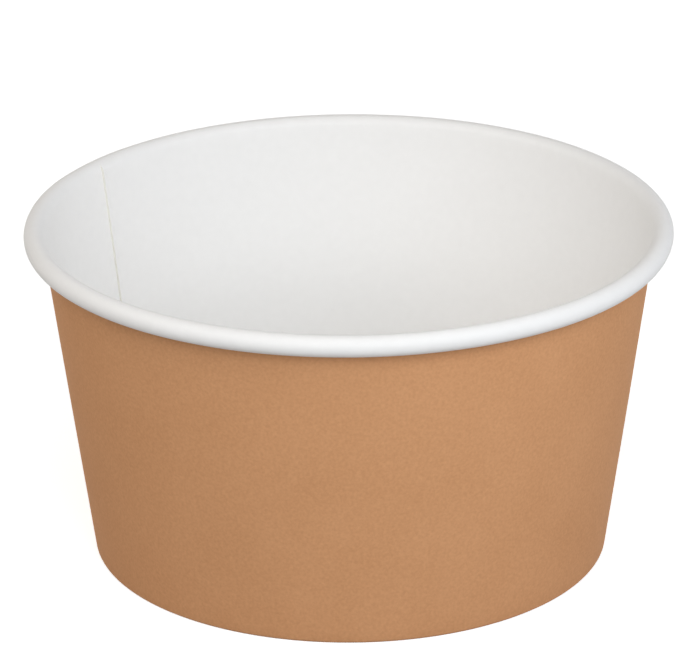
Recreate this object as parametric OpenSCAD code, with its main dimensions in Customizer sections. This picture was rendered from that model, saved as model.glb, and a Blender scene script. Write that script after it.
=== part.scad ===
// Paper ice cream tub
// Two pieces of paperboard: a fan-shaped blank wrapped into the side wall, and a round blank
// drawn into the base. The wall's top is rolled outward into the rim, its ends overlap in a glued
// seam, and its foot is folded in and up around the skirt of the base, which it grips.

/* [Tub] */
// Diameter across the outside of the rolled rim
rim_d = 90; // [80:1:110]
// Diameter of the wall's outside where it reaches the table
foot_d = 72; // [66:1:78]
// Height from the table to the top of the rim
tub_h = 48; // [36:1:80]

/* [Board] */
// Thickness of the wall's board
wall_board = 0.4; // [0.3:0.05:0.5]
// Thickness of the base's board
base_board = 0.4; // [0.3:0.05:0.5]
// Film of adhesive between boards that are sealed together
glue_film = 0.05; // [0.02:0.01:0.1]

/* [Rolled rim] */
// Diameter of the roll
roll_d = 2.9; // [2.4:0.1:4]
// Room between the wall and the edge that is tucked up inside the roll
tuck_gap = 0.05; // [0.02:0.01:0.15]
// Turn of the tucked edge past the bottom of the roll, in degrees
tuck_turn = 180; // [60:10:240]

/* [Foot] */
// Inside radius of the fold at the foot
fold_in_r = 0.1; // [0.05:0.01:0.14]
// Length of the hem, from the table up along the wall
hem_l = 5.5; // [3:0.25:5.5]
// Height of the underside of the base above the table
base_rise = 7; // [6.5:0.25:12]
// Inside radius of the bend between the base and its skirt
base_in_r = 0.5; // [0.2:0.1:1]

/* [Side seam] */
// Azimuth of the inner cut edge of the seam, in degrees
seam_azimuth = 147; // [0:1:359]
// Width of the overlap
lap_w = 7; // [4:0.5:10]
// How far the overlap is pressed together while it is sealed
lap_press = 0.04; // [0.02:0.01:0.08]
// Distance from the ends of the overlap to the roll above it and the table below it
lap_end_gap = 0.6; // [0.4:0.1:2]

/* [Hidden] */

// Facets of a full turn about the axis, and the turn between points along a bend of the board
$fn = 180;
bend_step = 15;

rim_r = rim_d / 2;
foot_r = foot_d / 2;
roll_r = roll_d / 2;

// The wall's outside leaves the foot and runs past the hollow of the roll without bending
roll_c = [rim_r - roll_r, tub_h - roll_r];
roll_reach = norm(roll_c - [foot_r, 0]);
taper = atan2(roll_c[0] - foot_r, roll_c[1]) - asin((roll_r - wall_board) / roll_reach);

// The tucked edge bends more tightly, about a centre below the roll's own
tuck_r = roll_r - wall_board - tuck_gap;
tuck_c = roll_c - [0, roll_r - tuck_r];

// The fold holds three boards: the wall, the base's skirt and the hem
fold_r = wall_board + fold_in_r;
skirt_depth = wall_board + glue_film;
fold_depth = skirt_depth + base_board + glue_film + wall_board;

// The base's skirt starts above the fold and turns over into the base
skirt_start = (wall_board + glue_film) / cos(taper);
base_out_r = base_in_r + base_board;
base_top = base_rise + base_board;

// One wrap of the wall ends this much further out than it began, at the seam
lap_shift = (wall_board - lap_press) / cos(taper);
lap_from = lap_end_gap / cos(taper);
lap_to = (tub_h - roll_d - lap_end_gap) / cos(taper);
lap_angle = lap_w / rim_r * 180 / PI;

// A point of the section, so far up the wall's outside and so far in from it
function on_wall(up, depth) =
    [foot_r + up * sin(taper) - depth * cos(taper), up * cos(taper) + depth * sin(taper)];

// The point of the section at height z that lies so far in from the wall's outside
function at_height(z, depth) = [foot_r - (depth - z * sin(taper)) / cos(taper), z];

// Points of a bend of radius r about c, from angle a to angle b. A bend that runs on from another
// leaves out its first point, which the other has given.
function bend(c, r, a, b, runs_on = false) =
    let (n = ceil(abs(b - a) / bend_step))
    [for (i = [(runs_on ? 1 : 0) : n]) c + r * [cos(a + (b - a) * i / n), sin(a + (b - a) * i / n)]];

function backwards(points) = [for (i = [len(points) - 1 : -1 : 0]) points[i]];

// Outline of a board from its two faces, each listed from one cut edge to the other
module board(face_a, face_b) {
    polygon(concat(face_a, backwards(face_b)));
}

// One face of the wall's board, as far behind its printed face as inset says, from the edge of
// the hem down, round the fold, up the wall and round the roll to the tucked edge
function wall_face(inset) = concat(
    [on_wall(hem_l, fold_depth - inset)],
    bend(at_height(fold_r, fold_depth - fold_r), fold_r - inset, 180 - taper, 270),
    bend(at_height(fold_r, fold_r), fold_r - inset, 270, 360 - taper),
    bend(roll_c, roll_r - wall_board + inset, 180 - taper, 90),
    bend(roll_c, roll_r - wall_board + inset, 90, -90, runs_on = true),
    bend(tuck_c, tuck_r - wall_board + inset, -90, -90 - tuck_turn, runs_on = true)
);

// One face of the base's board, as far inside its outer face as inset says, from the edge of the
// skirt up and over to just past the axis
function base_face(inset) = concat(
    [on_wall(skirt_start, skirt_depth + inset)],
    bend(at_height(base_top - base_out_r, skirt_depth + base_out_r), base_out_r - inset, -taper, 90),
    [[-lap_shift, base_top - inset]]
);

// Half a turn of a section about the axis, with the section moved outward by so much
module half_turn(from, outward) {
    rotate_extrude(angle = 180, start = from)
        intersection() {
            translate([outward, 0])
                children();
            square([rim_d, tub_h]);
        }
}

// A section wrapped once round as a sheet is: two half turns about centres a little apart, which
// run on smoothly into each other and end one board further out than they began
module wrapped() {
    translate([-lap_shift / 4, 0, 0])
        half_turn(180, 0)
            children();
    translate([lap_shift / 4, 0, 0])
        half_turn(0, lap_shift / 2)
            children();
}

// The outer end of the wall's board, carried on over its inner end
module lap() {
    translate([-lap_shift / 4, 0, 0])
        rotate_extrude(angle = lap_angle, start = -lap_angle)
            translate([lap_shift, 0])
                board(
                    [on_wall(lap_from, 0), on_wall(lap_to, 0)],
                    [on_wall(lap_from, wall_board), on_wall(lap_to, wall_board)]
                );
}

module sidewall() {
    color("#C6966D")
        rotate([0, 0, seam_azimuth]) {
            wrapped()
                board(wall_face(0), wall_face(wall_board));
            lap();
        }
}

module base_disc() {
    color("#EDEBE8")
        rotate([0, 0, seam_azimuth])
            wrapped()
                board(base_face(0), base_face(base_board));
}

sidewall();
base_disc();
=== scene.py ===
# Paper ice cream tub
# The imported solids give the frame, in metres: +Z up, the foot on z = 0, the photograph looking along +Y.
import math

import bpy
from mathutils import Matrix, Vector


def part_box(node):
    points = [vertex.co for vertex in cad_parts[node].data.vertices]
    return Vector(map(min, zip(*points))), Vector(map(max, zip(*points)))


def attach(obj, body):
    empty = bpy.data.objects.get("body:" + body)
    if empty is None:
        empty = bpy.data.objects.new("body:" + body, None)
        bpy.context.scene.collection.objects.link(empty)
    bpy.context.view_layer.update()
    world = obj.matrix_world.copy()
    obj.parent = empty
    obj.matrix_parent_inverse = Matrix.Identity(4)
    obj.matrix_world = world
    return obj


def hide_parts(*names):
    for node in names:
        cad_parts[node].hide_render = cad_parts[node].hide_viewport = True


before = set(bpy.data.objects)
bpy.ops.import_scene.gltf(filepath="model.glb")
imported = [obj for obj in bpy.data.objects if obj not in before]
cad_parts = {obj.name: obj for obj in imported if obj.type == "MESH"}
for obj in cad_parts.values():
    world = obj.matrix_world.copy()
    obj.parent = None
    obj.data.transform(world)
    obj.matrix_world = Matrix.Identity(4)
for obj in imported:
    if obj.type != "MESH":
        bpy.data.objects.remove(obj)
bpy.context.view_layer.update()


# Side wall
# One fan-shaped blank of paperboard, kraft brown outside and white inside. It is wrapped into a cone with
# a glued lap, its top is rolled outward into the rim, and its foot is folded in and up into a hem.
MM = 0.001
QUARTER = math.pi / 2
tub_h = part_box("sidewall")[1].z
rim_r = 45 * MM
foot_r = 36 * MM
board = 0.4 * MM
mid = board / 2
glue_film = 0.05 * MM
table_gap = 0.002 * MM

# The roll, and the edge tucked up inside it with a little room to the wall
roll_r = 1.45 * MM
tuck_gap = 0.05 * MM
tuck_r = roll_r - board - tuck_gap
tuck_turn = math.radians(180)

# The fold at the foot, which holds three boards: the wall, the base's skirt and the hem
fold_in_r = 0.1 * MM
fold_r = board + fold_in_r
fold_rows = 6
fold_depth = 3 * board + 2 * glue_film
hem_l = 5.5 * MM

# The lap of the blank's ends: the place of its inner cut edge, its width, how far below the roll it stops,
# and how far its two boards are pressed into each other
seam_azimuth = math.radians(147)
lap_w = 7 * MM
lap_stop = 0.6 * MM
lap_press = 0.04 * MM

# The wall leaves the foot and runs past the hollow of the roll without bending
roll_out = rim_r - roll_r - foot_r
roll_h = tub_h - roll_r
taper = math.atan2(roll_out, roll_h) - math.asin((roll_r - board) / math.hypot(roll_out, roll_h))
lap_shift = (board - lap_press) / math.cos(taper)


def up_wall(radius, height):
    """How far up the slope of the wall a point of the section lies."""
    return (radius - foot_r) * math.sin(taper) + height * math.cos(taper)


def radius_at(height, depth):
    """The radius at a height, so far in from the wall's outside."""
    return foot_r + (height * math.sin(taper) - depth) / math.cos(taper)


# The blank from the edge of the hem to the edge tucked into the roll, as stretches: name, length along the
# middle of the board, turn to the left, and rows of faces
hem_fold_up = up_wall(radius_at(fold_r, fold_depth - fold_r), fold_r)
wall_fold_up = up_wall(radius_at(fold_r, fold_r), fold_r)
roll_up = up_wall(foot_r + roll_out, roll_h)
wall_stretches = [
    ("Hem", hem_l - hem_fold_up, 0, 5),
    ("Inner fold", (fold_r - mid) * (QUARTER + taper), QUARTER + taper, fold_rows),
    ("Foot", (fold_depth - 2 * fold_r) / math.cos(taper), 0, 1),
    ("Outer fold", (fold_r - mid) * (QUARTER - taper), QUARTER - taper, fold_rows),
    ("Wall", roll_up - wall_fold_up - lap_stop, 0, 28),
    ("Above lap", lap_stop, 0, 1),
    ("Roll", (roll_r - mid) * (3 * QUARTER - taper), taper - 3 * QUARTER, 26),
    ("Tuck", (tuck_r - mid) * tuck_turn, -tuck_turn, 12),
]
wall_rows = sum(rows for _, _, _, rows in wall_stretches)
wall_turn_columns = 320
wall_lap_columns = 8
wall_sizes = {
    "Seam azimuth": seam_azimuth,
    "Lap angle": lap_w / rim_r,
    "Lap shift": lap_shift,
    "Seam easing": math.radians(14),
    "Knurl depth": 0.1 * MM,
    "Rim wave": 0.16 * MM,
    "Rim waves per radius": 1.4,
}


def add(tree, kind, inputs=None, **settings):
    """Adds a node with its settings, and sets or links its inputs.
    A node that is given as an input stands for its first output."""
    node = tree.nodes.new(kind)
    for name, value in settings.items():
        setattr(node, name, value)
    for socket, value in (inputs or {}).items():
        if isinstance(value, bpy.types.Node):
            value = value.outputs[0]
        if isinstance(value, bpy.types.NodeSocket):
            tree.links.new(value, node.inputs[socket])
        else:
            node.inputs[socket].default_value = value
    return node


def start_tree(name, values, stretches):
    """Adds the lengths and turns of a board's stretches to its values, and starts a tree with an input for
    each value. Gives the tree and those inputs."""
    for stretch, length, turn, _ in stretches:
        values[f"{stretch} length"] = length
        values[f"{stretch} turn"] = turn
    tree = bpy.data.node_groups.new(name, "GeometryNodeTree")
    for size in values:
        tree.interface.new_socket(name=size, in_out="INPUT", socket_type="NodeSocketFloat")
    tree.interface.new_socket(name="Geometry", in_out="OUTPUT", socket_type="NodeSocketGeometry")
    return tree, add(tree, "NodeGroupInput").outputs


def first_row(stretches, name):
    """The row of the grid at which a stretch begins."""
    before = [stretch[0] for stretch in stretches].index(name)
    return sum(rows for _, _, _, rows in stretches[:before])


def section_grid(tree, sizes, stretches, columns, start, start_heading):
    """A grid with a column for each step round the tub and a row for each step along a board's section.
    Gives the grid, its column and row numbers, and the radius and height of the section at each row."""
    rows = sum(count for _, _, _, count in stretches)
    grid = add(tree, "GeometryNodeMeshGrid", {
        "Size X": 1.0, "Size Y": 1.0, "Vertices X": columns + 1, "Vertices Y": rows + 1,
    })
    place = add(tree, "ShaderNodeSeparateXYZ", {0: add(tree, "GeometryNodeInputPosition")}).outputs
    across = add(tree, "ShaderNodeMath", {
        0: place["X"], 1: columns, 2: columns / 2,
    }, operation="MULTIPLY_ADD")
    column = add(tree, "ShaderNodeMath", {0: across}, operation="ROUND")
    along = add(tree, "ShaderNodeMath", {0: place["Y"], 1: rows, 2: rows / 2}, operation="MULTIPLY_ADD")
    row = add(tree, "ShaderNodeMath", {0: along}, operation="ROUND")

    # The step that ends at each row, as its length and its turn
    step = add(tree, "ShaderNodeCombineXYZ")
    for name, _, _, count in stretches:
        length = add(tree, "ShaderNodeMath", {0: sizes[f"{name} length"], 1: count}, operation="DIVIDE")
        turn = add(tree, "ShaderNodeMath", {0: sizes[f"{name} turn"], 1: count}, operation="DIVIDE")
        this_step = add(tree, "ShaderNodeCombineXYZ", {"X": length, "Y": turn})
        start_row = first_row(stretches, name)
        begun = add(tree, "ShaderNodeMath", {0: row, 1: start_row + 0.5}, operation="GREATER_THAN")
        step = add(tree, "GeometryNodeSwitch", {
            "Switch": begun, "False": step, "True": this_step,
        }, input_type="VECTOR")
    step = add(tree, "ShaderNodeSeparateXYZ", {0: step}).outputs

    # The heading adds up the turns, and the section adds up the steps along their headings
    turned = add(tree, "GeometryNodeAccumulateField", {
        "Value": step["Y"], "Group ID": column,
    }, data_type="FLOAT").outputs["Trailing"]
    halfway = add(tree, "ShaderNodeMath", {0: step["Y"], 1: 0.5, 2: turned}, operation="MULTIPLY_ADD")
    heading = add(tree, "ShaderNodeMath", {0: halfway, 1: start_heading}, operation="ADD")
    ahead = add(tree, "ShaderNodeCombineXYZ", {
        "X": add(tree, "ShaderNodeMath", {0: heading}, operation="COSINE"),
        "Z": add(tree, "ShaderNodeMath", {0: heading}, operation="SINE"),
    })
    move = add(tree, "ShaderNodeVectorMath", {0: ahead, "Scale": step["X"]}, operation="SCALE")
    path = add(tree, "GeometryNodeAccumulateField", {
        "Value": move, "Group ID": column,
    }, data_type="FLOAT_VECTOR").outputs["Leading"]
    section = add(tree, "ShaderNodeVectorMath", {0: path, 1: start}, operation="ADD")
    section = add(tree, "ShaderNodeSeparateXYZ", {0: section}).outputs
    return grid, column, row, section["X"], section["Z"]


wrap, sizes = start_tree("wrapped_blank", wall_sizes, wall_stretches)
hem_edge_h = hem_l * math.cos(taper) + (fold_depth - mid) * math.sin(taper)
blank, column, row, section_r, section_h = section_grid(
    wrap, sizes, wall_stretches, wall_turn_columns + wall_lap_columns,
    (radius_at(hem_edge_h, fold_depth - mid), 0, hem_edge_h + table_gap), 3 * QUARTER - taper,
)

# The way round: a full turn from the inner cut edge, then the lap
turn_part = add(wrap, "ShaderNodeMath", {0: column, 1: wall_turn_columns}, operation="MINIMUM")
lap_part = add(wrap, "ShaderNodeMath", {0: column, 1: turn_part}, operation="SUBTRACT")
turn_way = add(wrap, "ShaderNodeMath", {0: turn_part, 1: math.tau / wall_turn_columns}, operation="MULTIPLY")
lap_way = add(wrap, "ShaderNodeMath", {0: lap_part, 1: sizes["Lap angle"]}, operation="MULTIPLY")
way = add(wrap, "ShaderNodeMath", {
    0: lap_way, 1: 1 / wall_lap_columns, 2: turn_way,
}, operation="MULTIPLY_ADD")

# A turn ends one lap shift further out than it began, and begins a quarter of that inside the section
scroll_start = -0.25
scroll_middle = scroll_start + 0.5
turns = add(wrap, "ShaderNodeMath", {0: way, 1: 1 / math.tau, 2: scroll_start}, operation="MULTIPLY_ADD")
scroll = add(wrap, "ShaderNodeMath", {0: turns, 1: sizes["Lap shift"]}, operation="MULTIPLY")

# The ends of the roll are pressed level with each other at the seam
way_left = add(wrap, "ShaderNodeMath", {0: math.tau, 1: way}, operation="SUBTRACT")
from_seam = add(wrap, "ShaderNodeMath", {0: way, 1: way_left}, operation="MINIMUM")
near_seam = add(wrap, "ShaderNodeMapRange", {
    "Value": from_seam, "From Max": sizes["Seam easing"], "To Min": 1.0, "To Max": 0.0,
}, interpolation_type="SMOOTHSTEP")
roll_row = first_row(wall_stretches, "Roll")
rows_to_level = 6
in_roll = add(wrap, "ShaderNodeMapRange", {
    "Value": row, "From Min": roll_row, "From Max": roll_row + rows_to_level,
}, interpolation_type="SMOOTHSTEP")
pressed = add(wrap, "ShaderNodeMath", {0: near_seam, 1: in_roll}, operation="MULTIPLY")
level = add(wrap, "ShaderNodeMath", {0: sizes["Lap shift"], 1: scroll_middle}, operation="MULTIPLY")
outward = add(wrap, "ShaderNodeMix", {"Factor": pressed, "A": scroll, "B": level}, data_type="FLOAT")

# A knurled wheel presses the hem against the base's skirt. Its upright ridges, one on every other column,
# fade out towards the fold.
ridge = add(wrap, "ShaderNodeMath", {0: column, 1: 2.0}, operation="MODULO")
full_knurl_rows = 2
on_hem = add(wrap, "ShaderNodeMapRange", {
    "Value": row, "From Min": full_knurl_rows, "From Max": first_row(wall_stretches, "Inner fold"),
    "To Min": 1.0, "To Max": 0.0,
})
knurl = add(wrap, "ShaderNodeMath", {0: ridge, 1: on_hem}, operation="MULTIPLY")
knurl = add(wrap, "ShaderNodeMath", {0: knurl, 1: sizes["Knurl depth"]}, operation="MULTIPLY")

# A rolled rim is never quite true: slow waves inward and downward fade out towards the foot
azimuth = add(wrap, "ShaderNodeMath", {0: sizes["Seam azimuth"], 1: way}, operation="SUBTRACT")
cosine = add(wrap, "ShaderNodeMath", {0: azimuth}, operation="COSINE")
sine = add(wrap, "ShaderNodeMath", {0: azimuth}, operation="SINE")
waves = add(wrap, "ShaderNodeTexNoise", {
    "Vector": add(wrap, "ShaderNodeCombineXYZ", {"X": cosine, "Y": sine}),
    "Scale": sizes["Rim waves per radius"], "Detail": 1.0,
})
wave = add(wrap, "ShaderNodeSeparateXYZ", {0: waves.outputs["Color"]}).outputs
still_h = 0.3 * tub_h
high_up = add(wrap, "ShaderNodeMapRange", {
    "Value": section_h, "From Min": still_h, "From Max": tub_h,
}, interpolation_type="SMOOTHSTEP")
wave_size = add(wrap, "ShaderNodeMath", {0: high_up, 1: sizes["Rim wave"]}, operation="MULTIPLY")
inward = add(wrap, "ShaderNodeMath", {0: wave["X"], 1: wave_size, 2: knurl}, operation="MULTIPLY_ADD")
downward = add(wrap, "ShaderNodeMath", {0: wave["Y"], 1: wave_size}, operation="MULTIPLY")

radius = add(wrap, "ShaderNodeMath", {0: section_r, 1: outward}, operation="ADD")
radius = add(wrap, "ShaderNodeMath", {0: radius, 1: inward}, operation="SUBTRACT")
place = add(wrap, "ShaderNodeCombineXYZ", {
    "X": add(wrap, "ShaderNodeMath", {0: radius, 1: cosine}, operation="MULTIPLY"),
    "Y": add(wrap, "ShaderNodeMath", {0: radius, 1: sine}, operation="MULTIPLY"),
    "Z": add(wrap, "ShaderNodeMath", {0: section_h, 1: downward}, operation="SUBTRACT"),
})
wrapped = add(wrap, "GeometryNodeSetPosition", {"Geometry": blank, "Position": place})

# The lap is a tongue on the wall that reaches half way round the outer fold. Its faces in the roll, in the
# hem and under the foot are cut away. The grid numbers its faces up each column in turn.
lap_from_row = first_row(wall_stretches, "Wall") - fold_rows // 2
lap_to_row = first_row(wall_stretches, "Above lap")
face = add(wrap, "GeometryNodeInputIndex")
face_row = add(wrap, "ShaderNodeMath", {0: face, 1: wall_rows}, operation="MODULO")
last_turn_face = wall_turn_columns * wall_rows - 1
in_lap = add(wrap, "ShaderNodeMath", {0: face, 1: last_turn_face + 0.5}, operation="GREATER_THAN")
below = add(wrap, "ShaderNodeMath", {0: face_row, 1: lap_from_row - 0.5}, operation="LESS_THAN")
above = add(wrap, "ShaderNodeMath", {0: face_row, 1: lap_to_row - 0.5}, operation="GREATER_THAN")
off_wall = add(wrap, "ShaderNodeMath", {0: below, 1: above}, operation="ADD")
spare = add(wrap, "ShaderNodeMath", {0: in_lap, 1: off_wall}, operation="MULTIPLY")
trimmed = add(wrap, "GeometryNodeDeleteGeometry", {"Geometry": wrapped, "Selection": spare}, domain="FACE")

# The printed face is turned outward
printed_out = add(wrap, "GeometryNodeFlipFaces", {"Mesh": trimmed})


def linear(colour):
    """An sRGB hex colour such as "C8966E" as linear red, green and blue, with alpha."""
    parts = [int(colour[i:i + 2], 16) / 255 for i in (0, 2, 4)]
    return [c / 12.92 if c <= 0.04045 else ((c + 0.055) / 1.055) ** 2.4 for c in parts] + [1.0]


def start_material(name):
    """A new material, with its tree, its shader and the place on the piece that its patterns read."""
    material = bpy.data.materials.new(name)
    material.use_nodes = True
    tree = material.node_tree
    at = add(tree, "ShaderNodeTexCoord").outputs["Object"]
    return material, tree, tree.nodes["Principled BSDF"], at


# Board printed kraft brown: matt ink over paper fibre gives a fine even mottle, faint clouds where the ink
# lies thicker, and almost no sheen. Single fibres are too fine to show, so the mottle is drawn 0.4 mm wide.
kraft, tree, shader, at = start_material("kraft_print_on_board")
fibre = add(tree, "ShaderNodeTexNoise", {"Vector": at, "Scale": 1 / (0.4 * MM), "Detail": 4.0})
cloud = add(tree, "ShaderNodeTexNoise", {"Vector": at, "Scale": 1 / (9 * MM), "Detail": 2.0})
mottle = add(tree, "ShaderNodeMix", {"Factor": 0.25, "A": fibre, "B": cloud}, data_type="FLOAT")
depth = add(tree, "ShaderNodeMapRange", {"Value": mottle, "From Min": 0.3, "From Max": 0.7})
ink = add(tree, "ShaderNodeMix", {
    "Factor": depth, 6: linear("D39A6C"), 7: linear("E1A87A"),
}, data_type="RGBA")
tree.links.new(ink.outputs[2], shader.inputs["Base Color"])
shader.inputs["Roughness"].default_value = 0.7
shader.inputs["IOR"].default_value = 1.45
shader.inputs["Specular IOR Level"].default_value = 0.1
grain = add(tree, "ShaderNodeBump", {"Height": fibre, "Strength": 0.15, "Distance": 0.03 * MM})
tree.links.new(grain.outputs[0], shader.inputs["Normal"])

# Bleached board under a thin polyethylene film: a clean white, nearly matt, with a soft ripple
white, tree, shader, at = start_material("film_coated_white_board")
ripple = add(tree, "ShaderNodeTexNoise", {"Vector": at, "Scale": 1 / (1.2 * MM), "Detail": 2.0})
tone = add(tree, "ShaderNodeMix", {
    "Factor": ripple, 6: linear("F4F3F1"), 7: linear("F8F7F5"),
}, data_type="RGBA")
tree.links.new(tone.outputs[2], shader.inputs["Base Color"])
shader.inputs["Roughness"].default_value = 0.5
shader.inputs["IOR"].default_value = 1.5
shader.inputs["Specular IOR Level"].default_value = 0.2
film = add(tree, "ShaderNodeBump", {"Height": ripple, "Strength": 0.08, "Distance": 0.03 * MM})
tree.links.new(film.outputs[0], shader.inputs["Normal"])

# The board's cut edge: raw layered fibre, creamier and duller than its faces. Its plies are too fine to show,
# so their mottle is drawn 0.3 mm wide.
raw_edge, tree, shader, at = start_material("cut_edge_of_board")
plies = add(tree, "ShaderNodeTexNoise", {"Vector": at, "Scale": 1 / (0.3 * MM), "Detail": 2.0})
tone = add(tree, "ShaderNodeMix", {
    "Factor": plies, 6: linear("ECE9E0"), 7: linear("F1EFE8"),
}, data_type="RGBA")
tree.links.new(tone.outputs[2], shader.inputs["Base Color"])
shader.inputs["Roughness"].default_value = 0.8


def finish_tree(tree, sheet, material):
    """Ends a tree with its sheet smooth, real and of one material."""
    smooth = add(tree, "GeometryNodeSetShadeSmooth", {"Geometry": sheet})
    real = add(tree, "GeometryNodeRealizeInstances", {"Geometry": smooth})
    faced = add(tree, "GeometryNodeSetMaterial", {"Geometry": real, "Material": material})
    add(tree, "NodeGroupOutput", {"Geometry": faced})


def settle(piece):
    """Turns a piece and its modifiers into one plain mesh."""
    made = bpy.data.meshes.new_from_object(piece.evaluated_get(bpy.context.evaluated_depsgraph_get()))
    made.name = piece.name
    piece.modifiers.clear()
    piece.data = made


def make_sheet(name, tree, values):
    """Runs a tree with its inputs on an empty object, and leaves the object with a plain mesh."""
    sheet = bpy.data.objects.new(name, bpy.data.meshes.new(name))
    bpy.context.scene.collection.objects.link(sheet)
    modifier = sheet.modifiers.new(tree.name, "NODES")
    modifier.node_group = tree
    for item in tree.interface.items_tree:
        if item.in_out == "INPUT":
            modifier[item.identifier] = values[item.name]
    settle(sheet)
    return sheet


def thicken(sheet, inner_face, cut_edge):
    """Gives a sheet its board's thickness, a material for its other face and one for its cut edge."""
    sheet.data.materials.append(inner_face)
    sheet.data.materials.append(cut_edge)
    modifier = sheet.modifiers.new("board", "SOLIDIFY")
    modifier.thickness = board
    modifier.offset = 0
    modifier.use_even_offset = True
    modifier.use_quality_normals = True
    modifier.material_offset = 1
    modifier.material_offset_rim = 2
    settle(sheet)
    sheet.data.set_sharp_from_angle(angle=math.radians(50))


finish_tree(wrap, printed_out, kraft)
wall = make_sheet("wrapped_wall", wrap, wall_sizes)
thicken(wall, white, raw_edge)
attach(wall, "root")
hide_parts("sidewall")


# Base
# One round blank of white board drawn into a shallow pan. Its skirt hangs between the wall and the hem and
# is sealed to both, and the draw leaves small pleats round its bend.
base_rise = 7 * MM
base_top = base_rise + board
base_in_r = 0.5 * MM
base_bend_r = base_in_r + board
skirt_depth = board + glue_film
skirt_start = skirt_depth / math.cos(taper)
bend_h = base_top - base_bend_r
bend_at_r = radius_at(bend_h, skirt_depth + base_bend_r)
base_stretches = [
    ("Panel", bend_at_r, 0, 30),
    ("Bend", (base_bend_r - mid) * (QUARTER + taper), -(QUARTER + taper), 10),
    ("Skirt", up_wall(bend_at_r, bend_h) - skirt_start, 0, 3),
]
base_columns = wall_turn_columns
base_sizes = {
    "Seam azimuth": seam_azimuth,
    "Scroll": lap_shift,
    "Seam easing": math.radians(4),
    "Sag": 0.2 * MM,
    "Pleat depth": 0.04 * MM,
    "Pleats per radius": 26.0,
}
draw, sizes = start_tree("drawn_base", base_sizes, base_stretches)
blank, column, row, section_r, section_h = section_grid(
    draw, sizes, base_stretches, base_columns, (0, 0, base_top - mid), 0.0,
)

# The skirt follows the wrap of the wall, and eases over the step at the seam's inner cut edge
way = add(draw, "ShaderNodeMath", {0: column, 1: math.tau / base_columns}, operation="MULTIPLY")
way_left = add(draw, "ShaderNodeMath", {0: math.tau, 1: way}, operation="SUBTRACT")
near_seam = add(draw, "ShaderNodeMapRange", {
    "Value": way_left, "From Max": sizes["Seam easing"], "To Min": 1.0, "To Max": 0.0,
}, interpolation_type="SMOOTHSTEP")
turns = add(draw, "ShaderNodeMath", {0: way, 1: 1 / math.tau, 2: scroll_start}, operation="MULTIPLY_ADD")
eased = add(draw, "ShaderNodeMix", {"Factor": near_seam, "A": turns, "B": scroll_start}, data_type="FLOAT")
scroll = add(draw, "ShaderNodeMath", {0: eased, 1: sizes["Scroll"]}, operation="MULTIPLY")
out_share = add(draw, "ShaderNodeMapRange", {"Value": section_r, "From Max": bend_at_r})
outward = add(draw, "ShaderNodeMath", {0: scroll, 1: out_share}, operation="MULTIPLY")

# Pleats gather the board's spare width. They begin just inside the bend and are full from half way down it.
azimuth = add(draw, "ShaderNodeMath", {0: sizes["Seam azimuth"], 1: way}, operation="SUBTRACT")
cosine = add(draw, "ShaderNodeMath", {0: azimuth}, operation="COSINE")
sine = add(draw, "ShaderNodeMath", {0: azimuth}, operation="SINE")
pleats = add(draw, "ShaderNodeTexNoise", {
    "Vector": add(draw, "ShaderNodeCombineXYZ", {"X": cosine, "Y": sine}),
    "Scale": sizes["Pleats per radius"], "Detail": 1.0,
})
bend_row = first_row(base_stretches, "Bend")
rows_before_bend = 3
rows_into_bend = 5
at_bend = add(draw, "ShaderNodeMapRange", {
    "Value": row, "From Min": bend_row - rows_before_bend, "From Max": bend_row + rows_into_bend,
}, interpolation_type="SMOOTHSTEP")
pleat = add(draw, "ShaderNodeMath", {0: pleats, 1: at_bend}, operation="MULTIPLY")
pleat = add(draw, "ShaderNodeMath", {0: pleat, 1: sizes["Pleat depth"]}, operation="MULTIPLY")

# The panel sags a little in the middle
mid_panel = add(draw, "ShaderNodeMapRange", {
    "Value": section_r, "From Max": bend_at_r, "To Min": 1.0, "To Max": 0.0,
}, interpolation_type="SMOOTHSTEP")
sag = add(draw, "ShaderNodeMath", {0: mid_panel, 1: sizes["Sag"]}, operation="MULTIPLY")
radius = add(draw, "ShaderNodeMath", {0: section_r, 1: outward}, operation="ADD")
radius = add(draw, "ShaderNodeMath", {0: radius, 1: pleat}, operation="SUBTRACT")
height = add(draw, "ShaderNodeMath", {0: section_h, 1: sag}, operation="SUBTRACT")
place = add(draw, "ShaderNodeCombineXYZ", {
    "X": add(draw, "ShaderNodeMath", {0: radius, 1: cosine}, operation="MULTIPLY"),
    "Y": add(draw, "ShaderNodeMath", {0: radius, 1: sine}, operation="MULTIPLY"),
    "Z": add(draw, "ShaderNodeMath", {0: height, 1: pleat}, operation="SUBTRACT"),
})
drawn = add(draw, "GeometryNodeSetPosition", {"Geometry": blank, "Position": place})

# The grid's first and last columns meet, and its first row is one point in the middle
meeting = 0.001 * MM
joined = add(draw, "GeometryNodeMergeByDistance", {"Geometry": drawn, "Distance": meeting})
finish_tree(draw, joined, white)
base = make_sheet("drawn_base", draw, base_sizes)
thicken(base, white, raw_edge)
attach(base, "root")
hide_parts("base_disc")


# Table and light
# A plain table in a dim room. A wide lamp near the front gives most of the light, weaker ones stand at the
# right and high at the left, and a low one lights the back. The table shows white and keeps the tub's shadow.
table_half = 0.35
table_corners = [(-table_half, -table_half, 0), (table_half, -table_half, 0),
                 (table_half, table_half, 0), (-table_half, table_half, 0)]
table_mesh = bpy.data.meshes.new("table")
table_mesh.from_pydata(table_corners, [], [(0, 1, 2, 3)])
table = bpy.data.objects.new("table", table_mesh)
bpy.context.scene.collection.objects.link(table)


def shows_white(tree):
    """1 for a ray in which the camera, a gloss or glass sees the background, and 0 for one that lights."""
    seen = add(tree, "ShaderNodeLightPath").outputs
    shown = add(tree, "ShaderNodeMath", {
        0: seen["Is Camera Ray"], 1: seen["Is Glossy Ray"],
    }, operation="MAXIMUM")
    return add(tree, "ShaderNodeMath", {0: shown, 1: seen["Is Transmission Ray"]}, operation="MAXIMUM")


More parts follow.
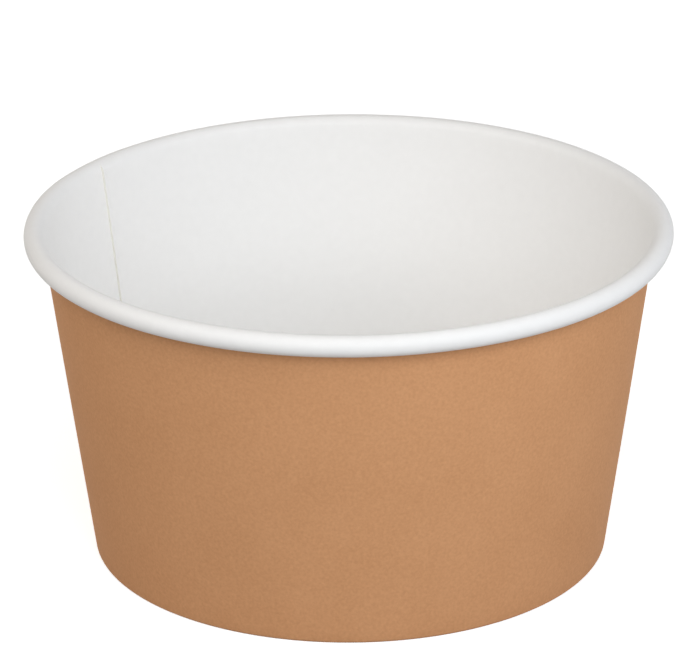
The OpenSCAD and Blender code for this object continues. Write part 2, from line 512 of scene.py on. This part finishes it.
# The tub is lit by a grey table, and the camera sees a white one
pale = bpy.data.materials.new("pale_table")
pale.use_nodes = True
tree = pale.node_tree
tree.nodes.clear()
grey_table = add(tree, "ShaderNodeBsdfDiffuse", {"Color": linear("A0A0A0")})
white_lit = add(tree, "ShaderNodeBsdfDiffuse", {"Color": linear("FFFFFF")})
glow = add(tree, "ShaderNodeEmission", {"Color": linear("FFFFFF"), "Strength": 0.55})
white_table = add(tree, "ShaderNodeAddShader", {0: white_lit, 1: glow})
add(tree, "ShaderNodeOutputMaterial", {
    "Surface": add(tree, "ShaderNodeMixShader", {0: shows_white(tree), 1: grey_table, 2: white_table}),
})
table_mesh.materials.append(pale)

# The room lights dimly, and shows white behind the table
room_light = 0.23
studio = bpy.data.worlds.new("studio")
bpy.context.scene.world = studio
studio.use_nodes = True
tree = studio.node_tree
tree.nodes.clear()
room = add(tree, "ShaderNodeBackground", {"Color": linear("FFFDF8"), "Strength": room_light})
backdrop = add(tree, "ShaderNodeBackground", {"Color": linear("FFFFFF"), "Strength": 1.0})
add(tree, "ShaderNodeOutputWorld", {
    "Surface": add(tree, "ShaderNodeMixShader", {0: shows_white(tree), 1: room, 2: backdrop}),
})


def softbox(name, colour, place, width, height, power):
    """A lamp of a colour, so wide and high, that faces the middle of the tub."""
    lamp = bpy.data.lights.new(name, "AREA")
    lamp.shape = "RECTANGLE"
    lamp.size = width
    lamp.size_y = height
    lamp.color = linear(colour)[:3]
    lamp.energy = power
    box = bpy.data.objects.new(name, lamp)
    box.location = place
    box.rotation_euler = (Vector((0, 0, tub_h / 2)) - box.location).to_track_quat("-Z", "Y").to_euler()
    box.visible_camera = False
    bpy.context.scene.collection.objects.link(box)
    return box


softbox("front_softbox", "F6FAFF", place=(0.09, -0.30, 0.22), width=0.7, height=0.2, power=1.25)
softbox("right_softbox", "F0F3FF", place=(0.50, 0, 0.20), width=0.6, height=0.4, power=0.53)
softbox("left_softbox", "FFF6EE", place=(-0.40, -0.10, 0.40), width=0.4, height=0.4, power=0.88)

# The low lamp at the back would draw a line of shine along the rim, so it gives none
back_box = softbox("back_softbox", "F6FAFF", place=(0, 0.40, 0.02), width=0.4, height=0.03, power=0.3)
back_box.visible_glossy = False


# Camera
# At the photograph's viewing angle: a long lens from above the front, turned a touch about its own axis.
# Its place and its lens were fitted to the photograph together with the tub's outline.
camera_aim = Vector((0, 0, 31.5 * MM))
camera_distance = 651 * MM
camera_elevation = math.radians(21.9)
camera_roll = math.radians(-0.32)
camera_data = bpy.data.cameras.new("camera")
camera_data.sensor_width = 36
camera_data.lens = 239.1
camera_data.clip_start = 0.01
camera = bpy.data.objects.new("camera", camera_data)
bpy.context.scene.collection.objects.link(camera)
bpy.context.scene.camera = camera
back = Vector((0, -math.cos(camera_elevation), math.sin(camera_elevation)))
level_right = Vector((1, 0, 0))
right = level_right * math.cos(camera_roll) + back.cross(level_right) * math.sin(camera_roll)
turned = Matrix((right, back.cross(right), back)).transposed().to_4x4()
camera.matrix_world = Matrix.Translation(camera_aim + back * camera_distance) @ turned

bpy.context.scene.view_settings.view_transform = "Standard"
